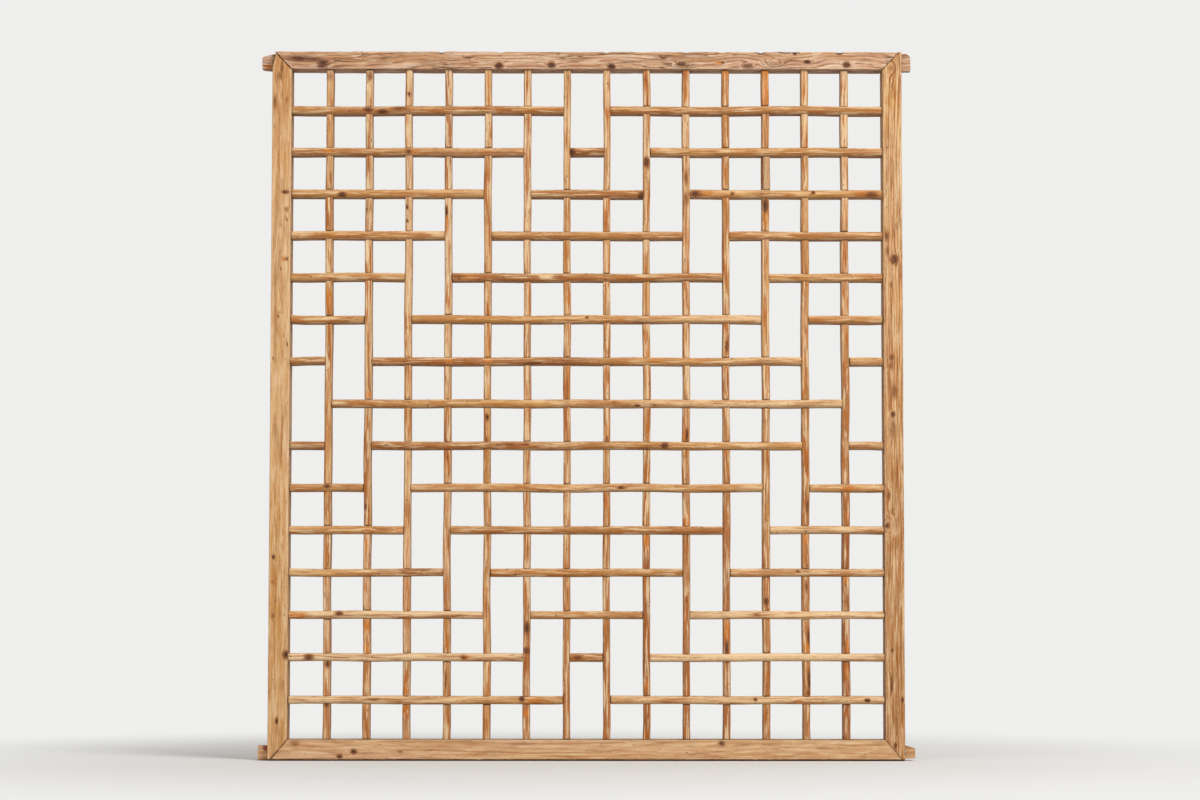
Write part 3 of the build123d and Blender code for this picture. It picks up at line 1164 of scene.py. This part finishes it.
@dataclass(frozen=True)
class Studio:
    """A pale floor that fades into a pale backdrop, soft lamps and the camera."""

    backdrop: Colour = (0.86, 0.857, 0.848)
    floor_colour: Colour = (0.84, 0.835, 0.82)
    air_colour: Colour = (1.0, 0.99, 0.97)
    floor_radius: float = 30.0
    floor_sides: int = 96
    fade_from: float = 0.45
    fade_to: float = 1.3
    ambient: float = 0.52
    key_power: float = 120.0
    key_size: float = 1.8
    key_place: tuple[float, float, float] = (2.2, -2.8, 3.5)
    fill_power: float = 20.0
    fill_size: float = 2.4
    fill_place: tuple[float, float, float] = (-2.6, -3.6, 1.6)
    aim: tuple[float, float, float] = (0.0, 0.0, 0.5)
    lens: float = 94.85
    sensor: float = 36.0
    camera_place: tuple[float, float, float] = (0.0075, -4.500, 0.2119)
    camera_pitch: float = 3.807
    camera_turn: float = -0.147
    camera_roll: float = -0.039

    def camera_rays(self, sketch: NodeSketch) -> Socket:
        """1 for rays that should meet the backdrop's own colour."""
        path = sketch.place("LightPath").outputs
        rays = path["Is Camera Ray"]
        for kind in ("Is Glossy Ray", "Is Transmission Ray"):
            rays = sketch.math("MAXIMUM", rays, path[kind])
        return rays

    def build_world(self) -> None:
        """Even light all round, and the backdrop's colour for the camera."""
        world = bpy.data.worlds.new("studio_air")
        bpy.context.scene.world = world
        sketch = NodeSketch(world)
        light = sketch.place("Background")
        sketch.feed(light.inputs["Color"], self.air_colour)
        sketch.feed(light.inputs["Strength"], self.ambient)
        shown = sketch.place("Background")
        sketch.feed(shown.inputs["Color"], self.backdrop)
        sketch.output("World", sketch.mixed(self.camera_rays(sketch), light, shown))

    def build_floor(self) -> bpy.types.Object:
        """A wide round floor that takes the panel's shadow and fades into the backdrop."""
        sheet = bmesh.new()
        bmesh.ops.create_circle(
            sheet, cap_ends=True, radius=self.floor_radius, segments=self.floor_sides,
        )
        mesh = bpy.data.meshes.new("studio_floor")
        sheet.to_mesh(mesh)
        sheet.free()
        floor = bpy.data.objects.new("studio_floor", mesh)
        bpy.context.scene.collection.objects.link(floor)
        sketch = NodeSketch(bpy.data.materials.new("studio_floor"))
        place = sketch.place("NewGeometry")
        length = sketch.place("VectorMath", operation="LENGTH")
        sketch.feed(length.inputs[0], place.outputs["Position"])
        far = sketch.step(length.outputs["Value"], self.fade_from, self.fade_to)
        matte = sketch.place("BsdfDiffuse")
        sketch.feed(matte.inputs["Color"], self.floor_colour)
        shown = sketch.place("Emission")
        sketch.feed(shown.inputs["Color"], self.backdrop)
        far = sketch.math("MULTIPLY", far, self.camera_rays(sketch))
        sketch.output("Material", sketch.mixed(far, matte, shown))
        mesh.materials.append(sketch.holder)
        return floor

    def build_lamp(self, name: str, place: tuple[float, float, float], size: float,
                   power: float) -> None:
        """One soft square lamp that points at the panel."""
        lamp = bpy.data.lights.new(name, "AREA")
        lamp.size = size
        lamp.energy = power
        holder = bpy.data.objects.new(name, lamp)
        holder.location = place
        line = Vector(self.aim) - Vector(place)
        holder.rotation_euler = line.to_track_quat("-Z", "Y").to_euler()
        bpy.context.scene.collection.objects.link(holder)

    def build_camera(self) -> None:
        """The camera, low in front of the panel and pitched up a little."""
        camera = bpy.data.cameras.new("camera")
        camera.lens = self.lens
        camera.sensor_width = self.sensor
        holder = bpy.data.objects.new("camera", camera)
        holder.location = self.camera_place
        angles = (90 + self.camera_pitch, self.camera_roll, self.camera_turn)
        holder.rotation_euler = [math.radians(angle) for angle in angles]
        bpy.context.scene.collection.objects.link(holder)
        bpy.context.scene.camera = holder

    def build(self) -> None:
        """Sets the whole studio up."""
        self.build_world()
        self.build_floor()
        self.build_lamp("key_lamp", self.key_place, self.key_size, self.key_power)
        self.build_lamp("fill_lamp", self.fill_place, self.fill_size, self.fill_power)
        self.build_camera()
        bpy.context.scene.view_settings.view_transform = "Standard"


# The marks that the photo shows on each stick. A row holds the mark's place along the stick,
# half its length, its place across, half its width, its strength and how far it swells the
# rings, with lengths in millimetres. It stops where the rest is as usual.
knot = partial(Spot.in_mm, Mark.CHAR)
stain = partial(Spot.in_mm, Mark.RESIN)
bleached = partial(Spot.in_mm, Mark.BLEACH)
flaked = partial(Spot.in_mm, Mark.PAINT)

TOP_RAIL_SPOTS = (
    stain(-457, 6, -8, 5), knot(-410, 26, 2, 4.5, 0.7), knot(-392, 18, 1, 4, 0.6),
    knot(-378, 10, -5, 8, 0.75, 3), knot(-208, 5, 12, 3, 0.8), knot(-170, 7, 4, 2.5, 0.6, 4),
    knot(-126, 6, -8, 4.5, 1.0, 7), knot(-51, 6, -7, 4, 1.0, 7), knot(35, 6, -9, 4, 1.0, 6),
    knot(109, 5, 4, 3, 0.6, 3), knot(135, 9, -5, 4, 0.6, 7), stain(190, 6, -4, 3.5),
    knot(194, 3, -3, 1.8, 0.8), knot(230, 9, -8, 4, 0.6, 8), knot(248, 5, 12, 3, 0.8),
    knot(268, 14, -5, 6, 0.25, 9), knot(297, 3, 10, 2.5, 0.9), knot(315, 6, -2, 3, 0.85, 5),
    knot(361, 5, 11, 3, 0.8), stain(372, 11, -6, 6, 0.6), knot(371, 6, -6, 4, 0.9, 5),
    knot(432, 8, 5, 2, 0.6),
)
TOP_RAIL_NICKS = (
    Nick(-0.208, depth=0.0014),
    Nick(-0.124, reach=0.005, depth=0.0014),
    Nick(0.028, depth=0.0016),
    Nick(0.077, reach=0.006, depth=0.001),
    Nick(0.142, depth=0.0014),
    Nick(0.194, depth=0.0016),
    Nick(0.248, depth=0.0018),
    Nick(0.361, reach=0.005, depth=0.0016),
)
BOTTOM_RAIL_SPOTS = (
    flaked(-453, 4.5, 3, 5), knot(-411, 8, 9, 6, 0.5), knot(-348, 5, -9, 4, 0.8, 4),
    knot(-328, 5, -2, 4, 0.9, 4), knot(-263, 5, -2, 2, 0.6), knot(191, 6, 10, 4, 0.75, 3),
    knot(330, 16, 4, 6, 0.3),
)
LEFT_STILE_SPOTS = (
    knot(986, 12, 0, 3, 0.6), knot(974, 8, -3, 8, 0.45), knot(936, 14, -10, 3, 0.6),
    knot(940, 6, 7, 2, 0.5), knot(807, 3, 6, 6, 0.9), knot(782, 5, 7, 3, 0.5, 4),
    knot(768, 3, 8.5, 1, 0.8, 0), stain(711, 4, 4, 4, 0.9, 4), knot(711, 3, 9, 2.5, 0.7),
    knot(697, 3, 0.5, 1, 0.8, 0), knot(634, 1.2, 0, 6, 0.7, 0), knot(629, 4, -3, 1.2, 0.9, 0),
    knot(601, 3, 5, 1, 0.8, 0), knot(589, 3, 10, 1, 0.8, 0), knot(569, 3, -9.5, 1, 0.8, 0),
    knot(287, 4, -7, 3, 0.8), knot(252, 4, -8, 3, 0.5), knot(204, 8, -7, 4, 0.5, 4),
    knot(149, 7, 11, 6, 0.75, 4), knot(56, 6, -1, 2.5, 0.8),
)
LEFT_STILE_TONES = (
    (0.05, 0.16), (0.33, 0.10), (0.48, -0.28), (0.74, -0.25), (0.86, 0.0), (1.0, 0.2),
)
RIGHT_STILE_SPOTS = (
    knot(986, 12, 2, 6, 0.3, 8), knot(758, 12, 6, 2, 0.45), knot(745, 12, -9, 5, 0.5, 3),
    knot(723, 8, -8, 4, 0.42), knot(711, 8, 2, 7, 0.75, 7), knot(675, 6, -3, 2.5, 0.45),
    knot(571, 5, -3, 4, 0.65, 5), knot(559, 7, -4, 5, 0.42), knot(522, 14, 1, 7, 0.42),
    knot(490, 5, -1, 4, 0.7, 6), knot(470, 20, -1, 6, 0.42, 4), knot(375, 8, -8, 3, 0.5, 4),
    knot(332, 14, -7, 9, 0.12, 10), knot(332, 5, -10, 4, 0.7), knot(156, 3, -4, 2, 0.9),
    knot(108, 16, -5, 2, 0.75, 3), knot(86, 4, 10, 2, 0.9), knot(22, 5, 0, 2, 0.95),
)
RIGHT_STILE_TONES = (
    (0.05, 0.38), (0.33, 0.36), (0.55, 0.08), (0.72, -0.06), (0.86, -0.34), (0.97, 0.05),
)
BAR_TONES = {
    "crossbar_01_right": (0.25, 0.2), "crossbar_02_left": (0.3, 0.0),
    "crossbar_02_middle": (0.6, 0.6), "crossbar_03_left": (0.0, -0.6),
    "crossbar_03_middle": (0.55, 0.55), "crossbar_03_right": (-0.35, -0.2),
    "crossbar_04_left": (-0.3, 0.0), "crossbar_05_middle": (0.75, 0.5),
    "crossbar_06_middle": (-0.1, -0.7), "crossbar_07_left": (0.35, 0.3),
    "crossbar_07_middle": (0.8, -0.4), "crossbar_08_middle": (0.3, -0.8),
    "crossbar_09_left": (1.0, 1.0), "crossbar_09_middle": (0.85, 0.0),
    "crossbar_09_right": (-0.6, -0.6), "crossbar_10_left": (0.35, 0.35),
    "crossbar_11_left": (0.15, 0.15), "crossbar_11_middle": (0.7, 0.85),
    "crossbar_11_right": (-0.3, -0.3), "crossbar_12_left": (-0.1, 1.2),
    "crossbar_12_middle": (0.3, 0.5), "crossbar_12_right": (0.05, 0.65),
    "crossbar_13_left": (-0.85, -0.85), "crossbar_13_middle": (0.35, 0.35),
    "crossbar_13_right": (-0.6, -0.85), "crossbar_14_left": (-0.85, -0.8),
    "crossbar_14_middle": (0.6, 0.7), "crossbar_14_right": (-0.85, -0.85),
    "crossbar_15_left": (-0.85, 0.2), "crossbar_15_right": (-0.2, -0.7),
    "upright_01": (0.0, 0.35), "upright_02": (-0.1, -0.25), "upright_03": (0.0, -0.6),
    "upright_04": (0.25, -0.8), "upright_06": (0.45, -0.35), "upright_07": (0.2, 0.0),
    "upright_08": (0.4, 0.0), "upright_09": (0.95, -0.15), "upright_10": (0.6, -0.1),
    "upright_11": (0.75, 0.5), "upright_12": (0.3, -0.1), "upright_13": (0.5, 0.0),
    "upright_14": (1.15, -0.4),
}
LATTICE_SPOTS = {
    "crossbar_01_left": (
        stain(-312, 6, -3, 4), knot(-313, 9, 1, 5, 0.75), knot(-292, 8, -2, 4, 0.85),
        knot(-268, 16, 2, 5, 0.5),
    ),
    "crossbar_02_left": (
        stain(-369, 10, 0, 7, 0.75), knot(-255, 5, 0, 4, 0.7), stain(-246, 12, -2, 4, 0.7),
    ),
    "crossbar_02_middle": (knot(-24, 9, 0, 7, 0.85),),
    "crossbar_03_left": (knot(-349, 6, -2, 4, 0.95), stain(-336, 10, 1, 4, 0.5)),
    "crossbar_03_middle": (knot(78, 6, -3, 7, 0.9),),
    "crossbar_03_right": (
        stain(166, 16, 0, 7, 0.8), knot(155, 10, 0, 6, 0.7), knot(208, 3, 0, 3, 0.8),
        knot(323, 3, 2, 3, 0.9), stain(402, 18, 0, 7, 0.9), knot(406, 12, -1, 6, 0.6),
    ),
    "crossbar_05_middle": (
        stain(-178, 24, 0, 7, 0.9), knot(-184, 14, 1, 5, 0.5), knot(-39, 8, 2, 3, 0.5),
        bleached(-58, 12, 0, 3),
    ),
    "crossbar_06_middle": (knot(0, 3, 2, 2, 0.8),),
    "crossbar_07_middle": (
        stain(-196, 6, 0, 7, 0.9), stain(-140, 7, 0, 7, 0.9), knot(-76, 18, -3, 3, 0.6),
        knot(-30, 90, 0, 20, 0.35, 0),
    ),
    "crossbar_08_middle": (stain(40, 6, 2, 3, 0.8), knot(71, 4, -3, 2, 0.95)),
    "crossbar_09_left": (knot(-397, 30, 0, 20, 0.3, 0),),
    "crossbar_09_middle": (
        knot(-115, 30, 1, 3, 0.5), knot(-86, 7, 1, 2, 0.55), knot(111, 6, 0, 4.5, 1.0, 3),
    ),
    "crossbar_10_left": (knot(-368, 6, 1.8, 4, 0.75),),
    "crossbar_10_middle": (knot(49, 6, 0, 3, 0.7, 3),),
    "crossbar_10_right": (stain(372, 8, -2, 7, 0.9), stain(418, 6, 0, 7, 0.6)),
    "crossbar_11_left": (stain(-312, 7, 0, 5, 0.9), stain(-265, 6, 0, 7, 0.9)),
    "crossbar_12_left": (knot(-235, 40, 0, 20, 0.3, 0),),
    "crossbar_12_right": (knot(300, 3.5, 1.5, 2, 0.8),),
    "crossbar_13_left": (stain(-410, 16, 0, 8, 0.9), knot(-350, 6, 2, 4, 0.75)),
    "crossbar_13_right": (knot(241, 8, 0, 4, 0.4),),
    "crossbar_14_left": (
        knot(-392, 7, 0, 5, 0.8), stain(-172, 8, 0, 5, 0.8), knot(-174, 5, 0, 4, 0.65),
    ),
    "crossbar_14_middle": (knot(-12, 8, 0, 3, 0.7),),
    "crossbar_14_right": (bleached(250, 150, 0, 20, 0.7, 0),),
    "crossbar_15_left": (knot(-91, 4, 2, 5), stain(-75, 10, 0, 7, 0.8), knot(-300, 14, 1, 3, 0.5)),
    "crossbar_15_right": (knot(239, 2.5, 1.3, 2.5), knot(397, 4, 0, 3), stain(300, 8, -2, 7, 0.6)),
    "upright_01": (
        knot(974, 8, 0, 6, 0.4), stain(770, 12, -1, 3, 0.7), stain(650, 20, 0, 7, 0.95),
        stain(381, 6, 0, 7, 0.8), knot(135, 6, 1, 4, 0.8), knot(78, 4, 0, 4, 0.7),
    ),
    "upright_02": (
        knot(974, 10, 0, 6, 0.5), bleached(725, 20, -2, 4), knot(358, 6, -3, 2, 0.85),
        stain(305, 16, -1, 3, 0.8), stain(244, 12, 0, 7, 0.7), stain(518),
        stain(192, 10, 1, 4, 0.9), stain(156, 10, 0, 7, 0.8), stain(77, 6, 0, 4),
    ),
    "upright_03": (
        knot(948, 3, 0, 2, 0.95), stain(912, 14, -1.4, 3, 0.8), knot(786, 4, -2, 2),
        knot(766, 3, -2, 2), stain(72, 12, 0, 7, 0.8), stain(98, 6, 0, 4, 0.8),
    ),
    "upright_04": (
        stain(764, 22, -2.5, 2.8, 0.9), knot(781, 9, -2.5, 2, 0.9), knot(114, 18, -1, 1.4, 0.7),
    ),
    "upright_05": (knot(485, 6, 0, 3, 0.75),),
    "upright_06": (knot(187, 10, 0, 5, 0.8), knot(155, 6, 0, 7, 0.7), stain(67, 6, 0, 7, 0.9)),
    "upright_07": (stain(650, 20, 2, 4, 0.8),),
    "upright_08": (stain(466, 14, 0, 7, 0.9), knot(455, 6, 0, 2, 0.7)),
    "upright_09": (
        stain(311, 14, 0, 7, 0.9), stain(107, 12, 0, 7, 0.6), stain(577, 12, 0, 4, 0.95),
        stain(846, 14, 0, 7, 0.6), knot(850, 8, 0, 5, 0.85),
    ),
    "upright_10": (
        stain(336, 10, 0, 7, 0.95), knot(226, 6, 0, 2, 0.6), stain(456, 16, 0, 7, 0.95),
        knot(461, 12, 1, 2.2, 0.9), stain(950, 14, 1, 3, 0.95), knot(827, 12, 0, 1.8, 0.7),
        knot(798, 12, 0, 4, 0.5),
    ),
    "upright_11": (
        stain(580, 12, 2, 4, 0.8), knot(587, 10, 2, 2, 0.85), stain(978, 10, 0, 6, 0.9),
        stain(184, 20, 0, 7, 0.8), knot(160, 12, 0, 2),
    ),
    "upright_12": (
        knot(224, 6, 0, 4, 0.8, 3), stain(962, 34, 0, 30), knot(789, 12, 0, 4, 0.95),
        stain(770, 14, 0, 7, 0.95), stain(119, 12, 0, 4, 0.8),
    ),
    "upright_13": (
        knot(358, 12, 2, 2.5, 0.7), stain(318, 16, 2, 7, 0.8), knot(245, 12, 1, 2, 0.65),
        knot(174, 14, 3, 2, 0.8), stain(161, 12, 0, 7, 0.95), knot(114, 16, 3, 2, 0.95),
        knot(95, 3, 2, 3),
    ),
    "upright_14": (stain(256, 10, 2, 7, 0.8), stain(161, 15, 2, 3, 0.9), stain(125, 13, 0, 3, 0.9)),
}


def main() -> None:
    """Builds the frame, the lattice and the studio in order."""
    logging.basicConfig(level=logging.INFO, format="%(message)s")
    top_finish = AgedWood(
        "weathered_rail_wood", body=paint("dcb28e"), warm=paint("cf9f74"), rose=paint("d5aa90"),
        late_wood=paint("8d5c40"), pale=paint("f0d6b8"), ring_spacing=0.0032, ring_strength=1.0,
        streak_share=0.2, pale_share=0.6, crack_share=0.9, crack_width=0.024, relief=0.0008,
    )
    bottom_finish = AgedWood(
        "smooth_rail_wood", body=paint("ddb184"), warm=paint("cf9f6e"), rose=paint("d9b090"),
        late_wood=paint("a06c44"), ring_spacing=0.0045, ring_strength=0.5, streak_share=0.2,
        pale_share=0.5, mottle=0.6, crack_share=0.1, relief=0.0003,
    )
    left_finish = AgedWood(
        "smooth_stile_wood", body=paint("dfaf77"), warm=paint("d29d5d"), rose=paint("dcae85"),
        late_wood=paint("a26a36"), ring_spacing=0.0045, ring_strength=0.6, rose_share=0.4,
        streak_share=0.25, pale_share=0.5, crack_share=0.15, relief=0.0003,
    )
    right_finish = AgedWood(
        "striped_stile_wood", body=paint("e2b178"), warm=paint("d29a57"), rose=paint("dcaa80"),
        late_wood=paint("8c5027"), streak=paint("b56b2f"), ring_spacing=0.0036, ring_strength=1.0,
        rose_share=0.4, streak_share=0.65, pale_share=0.55, mottle=0.5, crack_share=0.5,
    )
    upright_finish = AgedWood("upright_wood", streak_share=0.85, ring_strength=0.9, pale_share=0.8)
    crossbar_finish = AgedWood(
        "crossbar_wood", body=paint("dba868"), warm=paint("cc914e"), late_wood=paint("995928"),
        pale=paint("f4d2a3"), rose_share=0.4, streak_share=0.5, pale_share=0.7,
    )
    patch_finish = AgedWood(
        "patch_wood", body=paint("c9a076"), warm=paint("bb9063"), streak_share=0.0, pale_share=0.2,
        ring_strength=0.3, mottle=0.3,
    )
    members = (top_finish, bottom_finish, left_finish, right_finish)
    OuterFrame(*(finish.material() for finish in members)).build()
    bars = (upright_finish, crossbar_finish, patch_finish)
    hands = HandWork(Opening.of_frame())
    Lattice(hands, *(finish.material() for finish in bars)).build()
    Studio().build()


if __name__ == "__main__":
    main()
